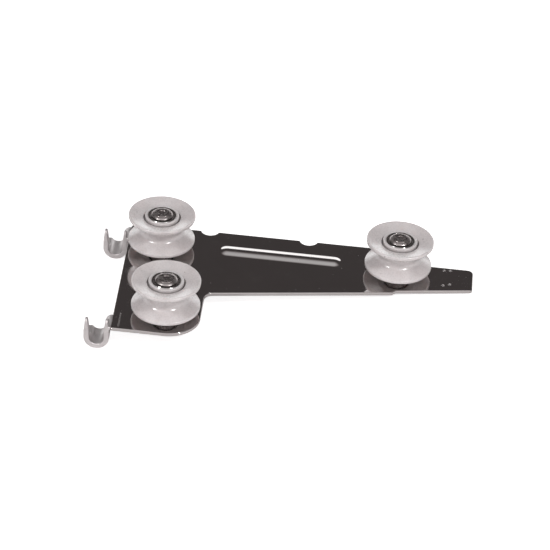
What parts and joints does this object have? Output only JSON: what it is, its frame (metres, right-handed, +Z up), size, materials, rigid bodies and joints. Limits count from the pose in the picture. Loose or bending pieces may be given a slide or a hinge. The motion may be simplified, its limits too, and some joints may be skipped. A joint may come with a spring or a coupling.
{
  "type": "sliding door roller",
  "caption": "Flat pressed carriage plate with grooved nylon rollers on ball bearings for a rail, and open hooks along one edge for a round rod.",
  "frame": {"origin": "on the front roller's axis, at the middle of its groove, 10.84 mm above the carriage plate's upper face", "axes": "+X along the plate's straight back edge towards its narrow tip, +Y across the plate towards that back edge, +Z up, square to the plate, to the side the rollers stand on"},
  "size_m": [0.1688, 0.0819, 0.0303],
  "materials": {
    "plate_nickel": "bright nickel-plated pressed steel",
    "hook_nickel": "satin nickel-plated steel",
    "nylon": "natural white moulded nylon, semi-gloss",
    "bearing_steel": "ground bearing steel",
    "shield_steel": "pressed steel",
    "ball_steel": "polished steel balls",
    "cage_nylon": "moulded nylon",
    "rivet_steel": "nickel-plated, pressed head",
    "washer_steel": "nickel-plated washer",
    "bush_steel": "turned steel"
  },
  "bodies": {
    "carriage": {"carriage_plate": "plate_nickel", "front_rod_hook": "hook_nickel", "rear_rod_hook": "hook_nickel", "front_bearing_inner_ring": "bearing_steel", "front_axle_rivet": "rivet_steel", "front_head_washer": "washer_steel", "front_spacer_bush": "bush_steel", "rear_bearing_inner_ring": "bearing_steel", "rear_axle_rivet": "rivet_steel", "rear_head_washer": "washer_steel", "rear_spacer_bush": "bush_steel", "arm_bearing_inner_ring": "bearing_steel", "arm_axle_rivet": "rivet_steel", "arm_head_washer": "washer_steel", "arm_spacer_bush": "bush_steel"},
    "front_roller": {"front_tyre": "nylon", "front_bearing_outer_ring": "bearing_steel", "front_bearing_upper_shield": "shield_steel", "front_bearing_lower_shield": "shield_steel"},
    "front_ball_cage": {"front_bearing_balls": "ball_steel", "front_bearing_cage": "cage_nylon"},
    "rear_roller": {"rear_tyre": "nylon", "rear_bearing_outer_ring": "bearing_steel", "rear_bearing_upper_shield": "shield_steel", "rear_bearing_lower_shield": "shield_steel"},
    "rear_ball_cage": {"rear_bearing_balls": "ball_steel", "rear_bearing_cage": "cage_nylon"},
    "arm_roller": {"arm_tyre": "nylon", "arm_bearing_outer_ring": "bearing_steel", "arm_bearing_upper_shield": "shield_steel", "arm_bearing_lower_shield": "shield_steel"},
    "arm_ball_cage": {"arm_bearing_balls": "ball_steel", "arm_bearing_cage": "cage_nylon"}
  },
  "joints": [
    {"name": "front_roller_spin", "type": "hinge", "parent": "carriage", "child": "front_roller", "pos_m": [0, 0, 0], "axis": [0, 0, 1], "continuous": true},
    {"name": "front_cage_spin", "type": "hinge", "parent": "carriage", "child": "front_ball_cage", "pos_m": [0, 0, 0], "axis": [0, 0, 1], "continuous": true},
    {"name": "rear_roller_spin", "type": "hinge", "parent": "carriage", "child": "rear_roller", "pos_m": [-0.00927, 0.05021, 0], "axis": [0, 0, 1], "continuous": true},
    {"name": "rear_cage_spin", "type": "hinge", "parent": "carriage", "child": "rear_ball_cage", "pos_m": [-0.00927, 0.05021, 0], "axis": [0, 0, 1], "continuous": true},
    {"name": "arm_roller_spin", "type": "hinge", "parent": "carriage", "child": "arm_roller", "pos_m": [0.09804, 0.04921, 0], "axis": [0, 0, 1], "continuous": true},
    {"name": "arm_cage_spin", "type": "hinge", "parent": "carriage", "child": "arm_ball_cage", "pos_m": [0.09804, 0.04921, 0], "axis": [0, 0, 1], "continuous": true}
  ],
  "couplings": [
    {"joint": "front_cage_spin", "follows": "front_roller_spin", "ratio": 0.61111},
    {"joint": "rear_cage_spin", "follows": "rear_roller_spin", "ratio": 0.61111},
    {"joint": "arm_cage_spin", "follows": "arm_roller_spin", "ratio": 0.61111}
  ]
}
